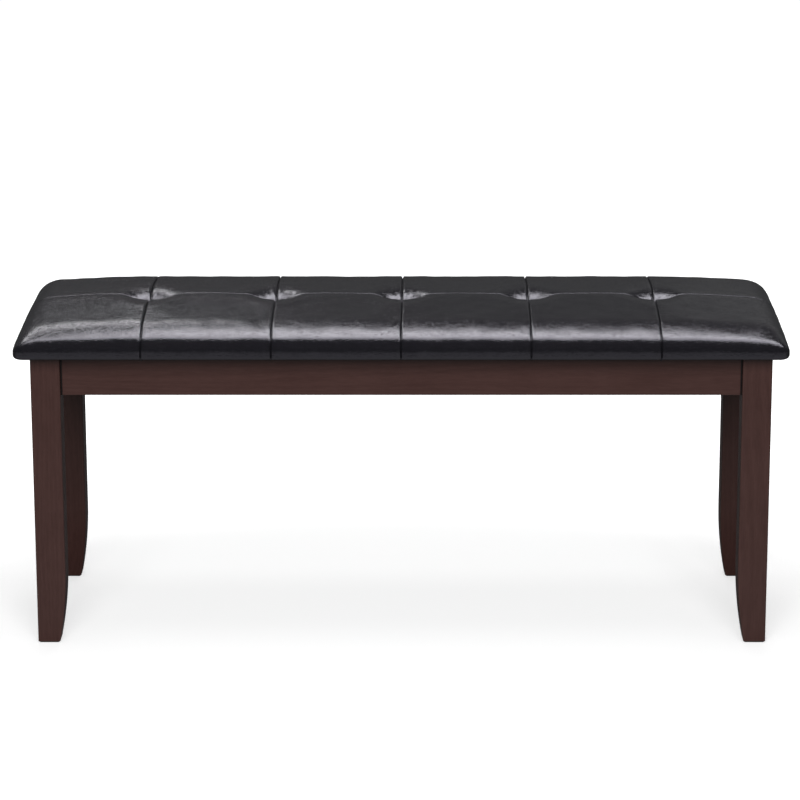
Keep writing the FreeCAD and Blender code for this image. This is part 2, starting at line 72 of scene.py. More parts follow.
# Sewn seams and tufts
CROSS_SEAMS = 5
SEAM_SPACING = 179 * MM
LAST_SEAM = SEAM_SPACING * (CROSS_SEAMS - 1) / 2
SEAM_DEPTH = 0.7 * MM
SEAM_REACH = 4 * MM
PANEL_PUFF = 1 * MM
LONG_SEAM_DEPTH = 0.6 * MM
LONG_SEAM_REACH = 11 * MM
TUFT_DEPTH = 15 * MM
DIP_POWER = 3.4
TUFT_CORE = 44 * MM
TUFT_REACH_X = 66 * MM
TUFT_REACH_Y = 62 * MM
CREASE_DEPTH = 3.4 * MM
CREASE_WIDTH = 0.75 * MM
LONG_CREASE_DEPTH = 2.0 * MM
LONG_CREASE_AT_END = 0.25

# Small relief in the leather
TUFT_WRINKLE = 0.22 * MM
TUFT_FOLDS = ((7, 0.5), (11, 0.6), (17, 0.35))
FOLD_START = 0.22
FOLD_POWER = 1.5
FOLD_SWING = 1.6
SEAM_PUCKER = 0.20 * MM
LONG_SEAM_PUCKER = 0.16 * MM
PUCKER_REACH = 18 * MM
PUCKER_START = 3 * MM
PUCKER_LENGTHS = (8.5 * MM, 13 * MM, 21 * MM)
PUCKER_DRIFT = 47 * MM
PUCKER_SWING = 2
SOFT_WAVES = ((0.12 * MM, 85 * MM), (0.10 * MM, 30 * MM))
SIDE_RELIEF = 0.8

# How finely the leather is modelled
PANEL_STEPS = 32
END_PANEL_STEPS = 44
END_ROLL_STEPS = 14
CLOSER_AT_SEAMS = 1.8
ROLL_STEPS = 10
SHOULDER_STEPS = 14
RAMP_STEPS = 22
CREST_STEPS = 6
DIP_STEPS = 18
SIDE_STEPS = 3
UNDER_STEPS = 5

# Foam, dust cover, staples and feet
FOAM_GAP = 1.2 * MM
FOAM_GROOVE = 9 * MM
FOAM_TUFT = 14 * MM
FOAM_TUFT_GAP = 3 * MM
DUST_STEPS_X = 210
DUST_STEPS_Y = 72
DUST_SAG = 1.4 * MM
DUST_RIPPLE = 0.25 * MM
DUST_WAVE = 60 * MM
STAPLE_INSET = 5 * MM
STAPLE_CORNER = 22 * MM
STAPLE_SPACING = 42 * MM
STAPLE_LENGTH = 10 * MM
STAPLE_WIDTH = 1.2 * MM
STAPLE_HEIGHT = 0.6 * MM
STAPLE_BEVEL = 0.3 * STAPLE_HEIGHT
STAPLE_SKEW = 0.09
STAPLE_STRAY = 2 * MM
FELT_CORNER = 2 * MM
FELT_BULGE = 0.6 * MM
FELT_CORNER_STEPS = 5
FELT_PROFILE = ((0.0, 0.9), (0.12, 0.35), (0.35, 0.0), (0.65, 0.0), (0.88, 0.35), (1.0, 0.9))

# Finishes
LEATHER_SHEEN = (0.90, 0.87, 1.0, 1)
LEATHER_SPECULAR = 0.56
WOOD_SPECULAR = 0.35
# Painted shade: a dark band at each end of a rail, where it meets a leg, standing in for the shade in that
# joint
JOINT_PAINTED_SHADE = (0.0050, 0.0030, 0.0028, 1)
JOINT_WIDTH = 2.6 * MM
JOINT_FULL_WIDTH = 0.7 * JOINT_WIDTH
PLY_PAIR = 3.4 * MM
DOT_SPACING = 1.9 * MM
TWINE_LAY = 1.6 * MM

# Studio
STUDIO_GLOSSY = 0.07
STUDIO_DIFFUSE = 0.11
BOX_TURN = math.radians(-20)
CAMERA_PLACE = (0.035, -4.6825, 1.577)
CAMERA_TILT = math.radians(15.14)
CAMERA_SHIFT = -0.03325
CAMERA_FAR = 50
SENSOR = 36
LENS = 152.1
WORLD_WHITE = 1.05
WORLD_COLOUR = (0.97, 0.98, 1.0, 1)

# The floor: its colour and glow are those for the camera, for reflections and for the rest
FLOOR_SIZE = 6.0
FLOOR_COLOUR = (0.46, 0.10, 0.04)
FLOOR_GLOW = (0.54, 0.42, 0.0)
FLOOR_GLOW_FAR = 1.02
FLOOR_GLOW_BEHIND = 0.0
FRONT_FLOOR = (-0.25, -0.05)
# Round the bench the camera sees a dimmer floor glow: painted shade that deepens the cast shadow
SHADOW_STRETCH = (0.55, 1, 1)
SHADOW_ZONE = (0.38, 0.78)

# Small random differences are seeded, so every run gives the same bench
SEED = 7


# Mesh helpers

def new_object(name, data):
    """An object made from a mesh, a lamp or a camera, put in the scene."""
    piece = bpy.data.objects.new(name, data)
    bpy.context.scene.collection.objects.link(piece)
    return piece


def mesh_piece(name, points, faces, smooth=True):
    """A piece made from points and faces that are worked out below."""
    mesh = bpy.data.meshes.new(name)
    mesh.from_pydata([tuple(p) for p in points], [], [tuple(f) for f in faces])
    mesh.validate()
    mesh.update()
    mesh.polygons.foreach_set("use_smooth", [smooth] * len(mesh.polygons))
    return new_object(name, mesh)


def point_normals(points, quads):
    """Smooth normals at the points of a mesh of quads."""
    a, b, c, d = (points[quads[:, k]] for k in range(4))
    face_normals = np.cross(c - a, d - b)
    normals = np.zeros_like(points)
    for k in range(4):
        np.add.at(normals, quads[:, k], face_normals)
    return normals / np.maximum(np.linalg.norm(normals, axis=1, keepdims=True), 1e-12)


# Form of the seat pad

def fade(distance, reach):
    """1 at no distance, falling smoothly to 0 at reach."""
    share = np.minimum(np.abs(distance) / reach, 1.0)
    return (1 - share ** 2) ** 2


def quarter_round(distance, radius):
    """How far a rounded edge has drawn in, at a distance from the face it rounds."""
    inside = np.clip(radius - distance, 0.0, radius)
    return radius - np.sqrt(radius ** 2 - inside ** 2)


def seam_distance(x):
    """Signed distance along the bench from the nearest cross seam."""
    nearest = np.clip(np.round(x / SEAM_SPACING) * SEAM_SPACING, -LAST_SEAM, LAST_SEAM)
    return x - nearest


def crown_at(x):
    """Height of the seat's crown at a station, with its puffed panels and sewn seams."""
    off_seam = np.abs(seam_distance(x))
    half_panel = SEAM_SPACING / 2
    puff = PANEL_PUFF * fade(np.minimum(off_seam, half_panel) - half_panel, half_panel)
    return CROWN_HEIGHT - PANEL_PUFF + puff - SEAM_DEPTH * fade(off_seam, SEAM_REACH)


def rise_at(x):
    """Share of its full height that the seat's top keeps, falling towards the two ends."""
    to_end = SEAT_HALF_X - np.abs(x)
    slope = END_SLOPE * np.maximum(0.0, 1 - to_end / END_SLOPE_REACH) ** END_SLOPE_POWER
    return ((1 - slope / (CROWN_HEIGHT - SIDE_TOP))
            * (1 - quarter_round(to_end, END_ROLL) / END_ROLL))


def half_depth_at(x):
    """Half the seat's depth at a station, drawn in at its seams and its plan corners."""
    half = SEAT_HALF_Y - SEAM_DEPTH * fade(seam_distance(x), SEAM_REACH)
    return half - quarter_round(SEAT_HALF_X - np.abs(x), PLAN_CORNER)


def arc_across(centre_in, centre_up, radius, start, end, shares):
    """Points of an arc in the seat's section: inward distance and height, per station."""
    slopes = start[:, None] + (end - start)[:, None] * shares[None, :]
    inwards = centre_in[:, None] - radius[:, None] * np.sin(slopes)
    heights = centre_up[:, None] + radius[:, None] * np.cos(slopes)
    return inwards, heights


def half_section(x, coarse=1):
    """The seat's section from the top of its side to the long seam, at each station.

    A roll and a shoulder lead into a straight ramp, tangent to the crest, and the dip
    falls from the crest to the seam.
    """
    every = np.ones_like(x)
    half = half_depth_at(x)
    crown = crown_at(x)
    tuft = fade(seam_distance(x), TUFT_REACH_X)
    crest_in = half - LONG_SEAM_REACH - (TUFT_REACH_Y - LONG_SEAM_REACH) * tuft
    seam_drop = LONG_SEAM_DEPTH + TUFT_DEPTH * fade(seam_distance(x), TUFT_CORE)

    steep = SHOULDER_SLOPE * every
    upright = math.pi / 2 * every
    roll = SIDE_ROLL * every
    shoulder = SHOULDER_RADIUS * every
    crest = CREST_RADIUS * every
    shoulder_in = roll + (shoulder - roll) * np.sin(steep)
    shoulder_up = SIDE_TOP + (roll - shoulder) * np.cos(steep)
    apart = np.hypot(crest_in - shoulder_in, crown - crest - shoulder_up)
    ramp = (np.arctan2(crown - crest - shoulder_up, crest_in - shoulder_in)
            - np.arcsin((shoulder - crest) / apart))

    even = [np.linspace(0, 1, steps // coarse + 1)
            for steps in (ROLL_STEPS, SHOULDER_STEPS, CREST_STEPS)]
    towards_seam = 1 - np.linspace(1, 0, DIP_STEPS // coarse + 1) ** 2
    level = 0 * every
    shoulder_arc = arc_across(shoulder_in, shoulder_up, shoulder, steep, ramp, even[1][1:])
    crest_arc = arc_across(crest_in, crown - crest, crest, ramp, level, even[2])
    along_ramp = np.linspace(0, 1, RAMP_STEPS // coarse + 1)[1:-1]
    ramp_line = [first[:, -1:] + (last[:, :1] - first[:, -1:]) * along_ramp
                 for first, last in zip(shoulder_arc, crest_arc)]
    dip = (crest_in[:, None] + (half - crest_in)[:, None] * towards_seam[None, 1:],
           crown[:, None] - seam_drop[:, None] * towards_seam[None, 1:] ** DIP_POWER)
    arcs = [arc_across(roll, SIDE_TOP * every, roll, upright, steep, even[0]),
            shoulder_arc, ramp_line, crest_arc, dip]
    return (np.concatenate([a[0] for a in arcs], axis=1),
            np.concatenate([a[1] for a in arcs], axis=1))


def spaced(start, end, steps, power):
    """Stations from start to end, closer together at start."""
    return start + (end - start) * np.linspace(0, 1, steps + 1) ** power


def seat_stations(coarse=1):
    """Stations along the seat, closest together at its seams and its rounded ends."""
    panel_steps = PANEL_STEPS // coarse
    stations = []
    seams = [-LAST_SEAM + seam * SEAM_SPACING for seam in range(CROSS_SEAMS)]
    for seam in seams:
        for side in (-1, 1):
            if abs(seam + side * SEAM_SPACING) < LAST_SEAM + SEAM_SPACING / 2:
                stations.append(spaced(seam, seam + side * SEAM_SPACING / 2, panel_steps,
                                       CLOSER_AT_SEAMS))
    roll_start = SEAT_HALF_X - END_ROLL
    turns = np.linspace(0, math.pi / 2, END_ROLL_STEPS // coarse + 1)
    end_roll = roll_start + END_ROLL * np.sin(turns)
    for side in (-1, 1):
        stations.append(spaced(side * LAST_SEAM, side * roll_start, END_PANEL_STEPS // coarse,
                               CLOSER_AT_SEAMS))
        stations.append(side * end_roll)
    return np.unique(np.round(np.concatenate(stations), 7))


def seat_top(x, coarse=1):
    """Points of the seat from side to side, at every station: an array x by y by 3."""
    inwards, heights = half_section(x, coarse)
    half = half_depth_at(x)[:, None]
    depth = half - inwards
    heights = SIDE_TOP + (heights - SIDE_TOP) * rise_at(x)[:, None]
    depths = np.concatenate([-depth, depth[:, -2::-1]], axis=1)
    heights = np.concatenate([heights, heights[:, -2::-1]], axis=1)
    along = np.broadcast_to(x[:, None], depths.shape)
    return np.stack([along, depths, heights], axis=2)


class SeatSkin:
    """The outside of the seat: a top, a skirt down the four sides and a lip underneath."""

    def __init__(self, lip, coarse=1):
        self.x = seat_stations(coarse)
        self.top = seat_top(self.x, coarse)
        rows, columns = self.top.shape[:2]
        numbers = np.arange(rows * columns).reshape(rows, columns)
        self.points = self.top.reshape(-1, 3)
        self.quads = self.grid_quads(numbers)
        rim = np.concatenate([numbers[:, 0], numbers[-1, 1:], numbers[-2::-1, -1],
                              numbers[0, -2:0:-1]])
        self.last_ring = self.add_skirt(rim)
        self.add_lip(rim, lip, rows // 2 + PANEL_STEPS // coarse)

    def add_skirt(self, rim):
        """Rings down the sides and round the lower roll; the numbers of the last ring."""
        edge = self.points[rim]
        outwards = self.plan_normals(edge)
        upper = rim
        for inset, height in self.skirt_profile():
            ring = edge.copy()
            ring[:, :2] -= outwards * inset
            ring[:, 2] = height
            lower = len(self.points) + np.arange(len(rim))
            band = np.stack([lower, np.roll(lower, -1), np.roll(upper, -1), upper], axis=1)
            self.points = np.concatenate([self.points, ring])
            self.quads = np.concatenate([self.quads, band])
            upper = lower
        return upper

    def add_lip(self, rim, lip, middle):
        """The edge of the underside, as wide as the lip, on the columns of a middle row."""
        depth_share = self.top[middle, :, 1] / self.top[middle, -1, 1]
        half = half_depth_at(self.x)
        under = np.zeros_like(self.top)
        under[:, :, 0] = self.x[:, None] * (SEAT_HALF_X - UNDER_ROLL) / SEAT_HALF_X
        under[:, :, 1] = half[:, None] * depth_share[None, :] * (SEAT_HALF_Y - UNDER_ROLL) / SEAT_HALF_Y
        under[:, :, 2] = SEAT_BOTTOM
        in_lip = ((np.abs(under[:, :, 0]) > SEAT_HALF_X - lip)
                  | (np.abs(depth_share[None, :]) > 1 - lip / SEAT_HALF_Y))
        in_lip[[0, -1], :] = False
        in_lip[:, [0, -1]] = False
        numbers = np.full(in_lip.shape, -1)
        numbers[in_lip] = len(self.points) + np.arange(in_lip.sum())
        numbers[np.unravel_index(rim, numbers.shape)] = self.last_ring
        lip_quads = self.grid_quads(numbers)[:, ::-1]
        lip_quads = lip_quads[(lip_quads >= 0).all(axis=1)]
        self.points = np.concatenate([self.points, under[in_lip]])
        self.quads = np.concatenate([self.quads, lip_quads])

    @staticmethod
    def grid_quads(numbers):
        """Quads between the numbered points of a grid."""
        return np.stack([numbers[:-1, :-1], numbers[1:, :-1], numbers[1:, 1:], numbers[:-1, 1:]],
                        axis=-1).reshape(-1, 4)

    @staticmethod
    def plan_normals(rim):
        """Outward directions in plan along the seat's rim."""
        step = np.roll(rim, -1, axis=0) - np.roll(rim, 1, axis=0)
        normals = np.stack([step[:, 1], -step[:, 0]], axis=1)
        return normals / np.linalg.norm(normals, axis=1, keepdims=True)

    @staticmethod
    def skirt_profile():
        """Inset and height of each ring down the side and round the lower roll."""
        roll_top = SEAT_BOTTOM + UNDER_ROLL
        rings = [(0.0, SIDE_TOP + (roll_top - SIDE_TOP) * step / SIDE_STEPS)
                 for step in range(1, SIDE_STEPS + 1)]
        for step in range(1, UNDER_STEPS + 1):
            turn = step / UNDER_STEPS * math.pi / 2
            rings.append((UNDER_ROLL * (1 - math.cos(turn)), roll_top - UNDER_ROLL * math.sin(turn)))
        return rings


# Creases, puckers and wrinkles in the leather

def soft_noise(points, wavelength, random, waves=14):
    """A smooth random height between about -1 and 1: a sum of plane waves."""
    total = np.zeros(len(points))
    for _ in range(waves):
        turn = random.uniform(0, 2 * math.pi)
        length = wavelength * random.uniform(0.7, 1.6)
        across = points[:, 0] * math.cos(turn) + points[:, 1] * math.sin(turn) + points[:, 2] * 0.5
        total += np.cos(2 * math.pi * across / length + random.uniform(0, 2 * math.pi))
    return total / math.sqrt(waves / 2)


def tuft_wrinkles(points, random):
    """Folds that run out from each tuft and die away."""
    folds = np.zeros(len(points))
    for seam in range(CROSS_SEAMS):
        along = points[:, 0] - (-LAST_SEAM + seam * SEAM_SPACING)
        across = points[:, 1]
        reach = np.hypot(along / TUFT_REACH_X, across / TUFT_REACH_Y)
        turn = np.arctan2(across, along)
        strength = fade(reach, 1.0) * np.minimum(reach / FOLD_START, 1.0) ** FOLD_POWER
        wave = np.zeros(len(points))
        for count, share in TUFT_FOLDS:
            wave += share * np.cos(count * turn + random.uniform(0, 2 * math.pi)
                                   + FOLD_SWING * np.sin(2 * turn + random.uniform(0, 2 * math.pi)))
        folds += strength * wave
    return folds


def seam_puckers(distance, along, random):
    """Small pulls square to a seam, strongest a little away from it."""
    nearby = fade(distance, PUCKER_REACH) * np.minimum(np.abs(distance) / PUCKER_START, 1.0)
    ripple = np.zeros(len(distance))
    for length in PUCKER_LENGTHS:
        side = np.where(distance > 0, random.uniform(0, 6), random.uniform(0, 6))
        ripple += np.cos(2 * math.pi * along / length + side
                         + PUCKER_SWING * np.sin(along / PUCKER_DRIFT + random.uniform(0, 6)))
    return nearby * ripple / len(PUCKER_LENGTHS)


def leather_relief(points):
    """How far each point of the leather lies outside its smooth form."""
    random = np.random.default_rng(SEED)
    off_seam = seam_distance(points[:, 0])
    on_side = points[:, 2] < SIDE_TOP + 1 * MM
    off_underside = np.clip((points[:, 2] - SEAT_BOTTOM) / UNDER_ROLL, 0, 1)
    top = 1 - np.clip((SIDE_TOP + SIDE_ROLL - points[:, 2]) / SIDE_ROLL, 0, 1)
    across = points[:, 1]

    to_end = SEAT_HALF_X - np.abs(points[:, 0])
    long_crease = LONG_CREASE_DEPTH * np.clip(to_end / END_ROLL, LONG_CREASE_AT_END, 1)
    relief = -CREASE_DEPTH * np.exp(-(off_seam / CREASE_WIDTH) ** 2)
    relief -= long_crease * np.exp(-(across / CREASE_WIDTH) ** 2)
    relief += TUFT_WRINKLE * tuft_wrinkles(points, random) * top
    relief += SEAM_PUCKER * seam_puckers(off_seam, across, random)
    relief += LONG_SEAM_PUCKER * seam_puckers(across, points[:, 0], random) * top
    for height, wavelength in SOFT_WAVES:
        relief += height * soft_noise(points, wavelength, random)
    relief[on_side] *= SIDE_RELIEF
    return relief * off_underside


def lip_edge_quads(quads, count):
    """Quads that close the turned-in edge between the outer and the inner skin."""
    edges = np.concatenate([quads[:, [k, (k + 1) % 4]] for k in range(4)])
    key = np.sort(edges, axis=1)
    _, first, uses = np.unique(key[:, 0] * count + key[:, 1], return_index=True, return_counts=True)
    rim = edges[first[uses == 1]]
    return np.stack([rim[:, 1], rim[:, 0], rim[:, 0] + count, rim[:, 1] + count], axis=1)


def leather_cover():
    """The sewn leather with its thickness, turned in under the board all round."""
    skin = SeatSkin(LEATHER_LIP)
    normals = point_normals(skin.points, skin.quads)
    relief = leather_relief(skin.points)[:, None]
    outer = skin.points + normals * relief
    inner = outer - normals * LEATHER
    quads = np.concatenate([skin.quads, skin.quads[:, ::-1] + len(outer),
                            lip_edge_quads(skin.quads, len(outer))])
    return mesh_piece("seat_leather", np.concatenate([outer, inner]), quads)


# Underside: foam, dust cover, staples and feet

def seat_foam():
    """The foam under the leather, hollow underneath where the board goes."""
    skin = SeatSkin(0.0, coarse=3)
    normals = point_normals(skin.points, skin.quads)
    grooves = CREASE_DEPTH * np.maximum(fade(seam_distance(skin.points[:, 0]), FOAM_GROOVE),
                                        fade(skin.points[:, 1], FOAM_GROOVE))
    from_tuft = np.hypot(seam_distance(skin.points[:, 0]), skin.points[:, 1])
    tufts = FOAM_TUFT_GAP * fade(from_tuft, FOAM_TUFT)
    inset = LEATHER + FOAM_GAP + grooves + tufts
    points = skin.points - normals * inset[:, None]
    rim = skin.last_ring
    ceiling = points[rim].copy()
    ceiling[:, 2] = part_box("seat_board")[1].z
    raised = np.arange(len(points), len(points) + len(rim))
    walls = np.stack([raised, np.roll(raised, -1), np.roll(rim, -1), rim], axis=1)
    faces = [tuple(quad) for quad in np.concatenate([skin.quads, walls])]
    faces.append(tuple(raised[::-1]))
    return mesh_piece("seat_foam_block", np.concatenate([points, ceiling]), faces)


def sag_between(value, low, high):
    """0 at low and high, 1 midway, and 0 outside them."""
    share = np.clip((value - low) / (high - low), 0, 1)
    return 4 * share * (1 - share)


def dust_cover():
    """The black cloth under the seat: it sags a little in each bay of the frame."""
    low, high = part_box("dust_cover")
    slat_low, slat_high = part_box("seat_slat_right")
    apron_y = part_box("apron_rear")[0].y
    apron_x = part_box("apron_right")[0].x
    x = np.linspace(low.x, high.x, DUST_STEPS_X)
    y = np.linspace(low.y, high.y, DUST_STEPS_Y)
    grid_x, grid_y = np.meshgrid(x, y, indexing="ij")
    flat = np.stack([grid_x, grid_y, 0 * grid_x], axis=2).reshape(-1, 3)
    bays = (sag_between(flat[:, 0], -slat_low.x, slat_low.x)
            + sag_between(np.abs(flat[:, 0]), slat_high.x, apron_x))
    sag = DUST_SAG * bays * sag_between(flat[:, 1], -apron_y, apron_y)
    random = np.random.default_rng(SEED + 1)
    ripple = DUST_RIPPLE * (soft_noise(flat, DUST_WAVE, random) + 1) * np.minimum(bays, 1)
    ripple *= sag_between(flat[:, 1], -apron_y, apron_y)
    lower = flat.copy()
    lower[:, 2] = low.z - sag - ripple
    upper = flat.copy()
    upper[:, 2] = lower[:, 2] + (high.z - low.z)
    numbers = np.arange(len(flat)).reshape(grid_x.shape)
    quads = SeatSkin.grid_quads(numbers)
    lower_quads = quads[:, ::-1]
    shell = np.concatenate([lower_quads, quads + len(flat), lip_edge_quads(lower_quads, len(flat))])
    return mesh_piece("dust_cover_cloth", np.concatenate([lower, upper]), shell)


def staple_bar(length, wide, high, bevel):
    """Points and faces of one staple's crown, with bevelled long edges."""
    profile = [(-wide / 2, 0), (-wide / 2, -high + bevel), (-wide / 2 + bevel, -high),
               (wide / 2 - bevel, -high), (wide / 2, -high + bevel), (wide / 2, 0)]
    points = [(end * length / 2, y, z) for end in (-1, 1) for y, z in profile]
    count = len(profile)
    faces = [(k, (k + 1) % count, count + (k + 1) % count, count + k) for k in range(count)]
    faces += [tuple(range(count))[::-1], tuple(range(count, 2 * count))]
    return np.array(points), faces


def staples():
    """A row of staples round the dust cover, none of them quite straight."""
    random = np.random.default_rng(SEED + 2)
    low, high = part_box("dust_cover")
    half_x, half_y = high.x - STAPLE_INSET, high.y - STAPLE_INSET
    places = []
    for side in (-1, 1):
        for x in np.arange(-half_x + STAPLE_CORNER, half_x - STAPLE_CORNER / 2, STAPLE_SPACING):
            places.append((x, side * half_y, 0.0))
        for y in np.arange(-half_y + STAPLE_CORNER, half_y - STAPLE_CORNER / 2, STAPLE_SPACING):
            places.append((side * half_x, y, math.pi / 2))
    bar, bar_faces = staple_bar(STAPLE_LENGTH, STAPLE_WIDTH, STAPLE_HEIGHT, STAPLE_BEVEL)
    points, faces = [], []
    for x, y, turn in places:
        turn += random.normal(0, STAPLE_SKEW)
        x += random.normal(0, STAPLE_STRAY)
        cos, sin = math.cos(turn), math.sin(turn)
        start = len(points)
        for px, py, pz in bar:
            points.append((x + px * cos - py * sin, y + px * sin + py * cos, low.z + pz))
        faces += [tuple(start + k for k in face) for face in bar_faces]
    return mesh_piece("dust_cover_staples", points, faces, smooth=False)


def foot_felt(node):
    """A pressed felt pad: a rounded square whose edge bulges under the weight."""
    low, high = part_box(node)
    centre = (low + high) / 2
    half = (high.x - low.x) / 2
    rings = []
    for height, inset in FELT_PROFILE:
        rings.append((low.z + (high.z - low.z) * height, inset * FELT_BULGE))
    outline = []
    for quarter in range(4):
        middle = (quarter + 0.5) * math.pi / 2
        corner = (math.copysign(half - FELT_CORNER, math.cos(middle)),
                  math.copysign(half - FELT_CORNER, math.sin(middle)))
        for step in range(FELT_CORNER_STEPS + 1):
            outline.append((corner, (quarter + step / FELT_CORNER_STEPS) * math.pi / 2))
    points, faces = [], []
    for height, inset in rings:
        for (corner_x, corner_y), turn in outline:
            radius = FELT_CORNER - inset
            points.append((centre.x + corner_x + radius * math.cos(turn),
                           centre.y + corner_y + radius * math.sin(turn), height))
    count = len(outline)
    for ring in range(len(rings) - 1):
        for k in range(count):
            faces.append((ring * count + k, ring * count + (k + 1) % count,
                          (ring + 1) * count + (k + 1) % count, (ring + 1) * count + k))
    faces.append(tuple(range(count))[::-1])
    faces.append(tuple(range(len(points) - count, len(points))))
    return mesh_piece("felt_" + node, points, faces)


# Shader nodes: short ways to add and join them

class Graph:
    """One node tree, with a method for each step that a finish is built from."""

    def __init__(self, tree):
        self.tree = tree

    def node(self, kind, settings=None, **inputs):
        """A node of a kind; an input is a number, a colour or another node's output."""
        made = self.tree.nodes.new("ShaderNode" + kind)
        for setting, value in (settings or {}).items():
            setattr(made, setting, value)
        for name, value in inputs.items():
            self.feed(made, name.replace("_", " "), value)
        return made

    def feed(self, node, socket, value):
        """Give a node's input a value, or join another node's output to it."""
        if isinstance(value, bpy.types.NodeSocket):
            self.tree.links.new(value, node.inputs[socket])
        else:
            node.inputs[socket].default_value = value

    def math(self, operation, first, second=0.0):
        made = self.node("Math", {"operation": operation})
        self.feed(made, 0, first)
        self.feed(made, 1, second)
        return made.outputs["Value"]

    def remap(self, value, low, high, to_low=0.0, to_high=1.0):
        """Carry a value from one range to another, clamped."""
        made = self.node("MapRange", Value=value, From_Min=low, From_Max=high,
                         To_Min=to_low, To_Max=to_high)
        return made.outputs["Result"]

    def mix(self, share, first, second):
        """A colour between two colours."""
        made = self.node("Mix", {"data_type": "RGBA"})
        for number, value in ((0, share), (6, first), (7, second)):
            self.feed(made, number, value)
        return made.outputs[2]

    def place(self, scale=(1, 1, 1), turn=(0, 0, 0)):
        """The point on the piece, in metres, scaled and turned."""
        point = self.node("TexCoord").outputs["Object"]
        return self.node("Mapping", Vector=point, Rotation=turn, Scale=scale).outputs["Vector"]

    def noise(self, place, size, detail=2.0, roughness=0.5, distortion=0.0):
        """Noise whose lumps are about size metres across."""
        made = self.node("TexNoise", Vector=place, Scale=1 / size, Detail=detail,
                         Roughness=roughness, Distortion=distortion)
        return made.outputs["Fac"]

    def bump(self, height, distance, strength=1.0, normal=None):
        made = self.node("Bump", Height=height, Distance=distance, Strength=strength)
        if normal is not None:
            self.feed(made, "Normal", normal)
        return made.outputs["Normal"]

    def use(self, group, **inputs):
        """Place a node group, with its own values."""
        made = self.node("Group", {"node_tree": group})
        for name, value in inputs.items():
            self.feed(made, name.replace("_", " "), value)
        return made


def shader_group(name, inputs, outputs):
    """An empty node group: its graph, its entry node and its exit node."""
    tree = bpy.data.node_groups.new(name, "ShaderNodeTree")
    for label, (kind, value) in inputs.items():
        socket = tree.interface.new_socket(label, in_out="INPUT", socket_type="NodeSocket" + kind)
        if value is not None:
            socket.default_value = value
    for label, kind in outputs.items():
        tree.interface.new_socket(label, in_out="OUTPUT", socket_type="NodeSocket" + kind)
    return Graph(tree), tree.nodes.new("NodeGroupInput"), tree.nodes.new("NodeGroupOutput")


def finish(name):
    """A new material: the material, its graph and its shader."""
    made = bpy.data.materials.new(name)
    made.use_nodes = True
    return made, Graph(made.node_tree), made.node_tree.nodes["Principled BSDF"]


# Effects that several finishes share, each a node group

def mottle_group():
    """Broad uneven patches, for colour and for gloss."""
    graph, entry, out = shader_group(
        "mottle", {"Vector": ("Vector", None), "Patch": ("Float", 0.05), "Low": ("Float", 0.0),
                   "High": ("Float", 1.0)}, {"Value": "Float"})
    scale = graph.math("DIVIDE", 1.0, entry.outputs["Patch"])
    broad = graph.node("TexNoise", Vector=entry.outputs["Vector"], Scale=scale, Detail=3.0,
                       Roughness=0.55)
    graph.feed(out, "Value", graph.remap(broad.outputs["Fac"], 0.3, 0.7, entry.outputs["Low"],
                                         entry.outputs["High"]))
    return graph.tree


def pebble_group():
    """Rounded cells with thin valleys between them: leather grain or the cells of foam."""
    graph, entry, out = shader_group(
        "pebble", {"Vector": ("Vector", None), "Cell": ("Float", 0.0014), "Warp": ("Float", 0.4)},
        {"Height": "Float", "Valley": "Float", "Tone": "Float"})
    scale = graph.math("DIVIDE", 1.0, entry.outputs["Cell"])
    lumps = graph.node("TexNoise", Vector=entry.outputs["Vector"], Scale=scale, Detail=1.0)
    shift = graph.node("VectorMath", {"operation": "SCALE"})
    graph.feed(shift, 0, lumps.outputs["Color"])
    graph.feed(shift, "Scale", graph.math("MULTIPLY", entry.outputs["Warp"], entry.outputs["Cell"]))
    warped = graph.node("VectorMath", {"operation": "ADD"})
    graph.feed(warped, 0, entry.outputs["Vector"])
    graph.feed(warped, 1, shift.outputs["Vector"])
    edges = graph.node("TexVoronoi", {"feature": "DISTANCE_TO_EDGE"}, Vector=warped.outputs["Vector"],
                       Scale=scale)
    cells = graph.node("TexVoronoi", {"feature": "F1"}, Vector=warped.outputs["Vector"], Scale=scale)
    height = graph.node("MapRange", {"interpolation_type": "SMOOTHSTEP"},
                        Value=edges.outputs["Distance"], From_Min=0.0, From_Max=0.32)
    graph.feed(out, "Height", height.outputs["Result"])
    graph.feed(out, "Valley", graph.remap(edges.outputs["Distance"], 0.02, 0.12, 1.0, 0.0))
    tone = graph.node("SeparateColor", Color=cells.outputs["Color"])
    graph.feed(out, "Tone", tone.outputs["Red"])
    return graph.tree


def grain_group():
    """Wood grain that runs along the vector's Z: growth rings, fine streaks and pores."""
    graph, entry, out = shader_group(
        "wood_grain", {"Vector": ("Vector", None), "Ring": ("Float", 0.009), "Waver": ("Float", 1.0)},
        {"Figure": "Float", "Streaks": "Float", "Pores": "Float"})
    along = graph.node("Mapping", Vector=entry.outputs["Vector"], Scale=(1, 1, 0.06))
    point = along.outputs["Vector"]
    drift = graph.noise(point, 0.05, detail=2.0)
    sides = graph.node("SeparateXYZ", Vector=point)
    slant = graph.math("ADD", graph.math("MULTIPLY", sides.outputs["X"], 0.8), sides.outputs["Y"])
    rings = graph.math("DIVIDE", slant, entry.outputs["Ring"])
    bend = graph.math("MULTIPLY", drift, graph.math("MULTIPLY", entry.outputs["Waver"], 9.0))
    wave = graph.math("SINE", graph.math("MULTIPLY", graph.math("ADD", rings, bend), math.tau))
    fine = graph.noise(point, 0.0011, detail=3.0, roughness=0.7)
    graph.feed(out, "Figure", graph.remap(wave, -1.0, 1.0))
    graph.feed(out, "Streaks", graph.remap(fine, 0.3, 0.7))
    pores = graph.noise(point, 0.0005, detail=1.0)
    graph.feed(out, "Pores", graph.remap(pores, 0.62, 0.72))
    return graph.tree


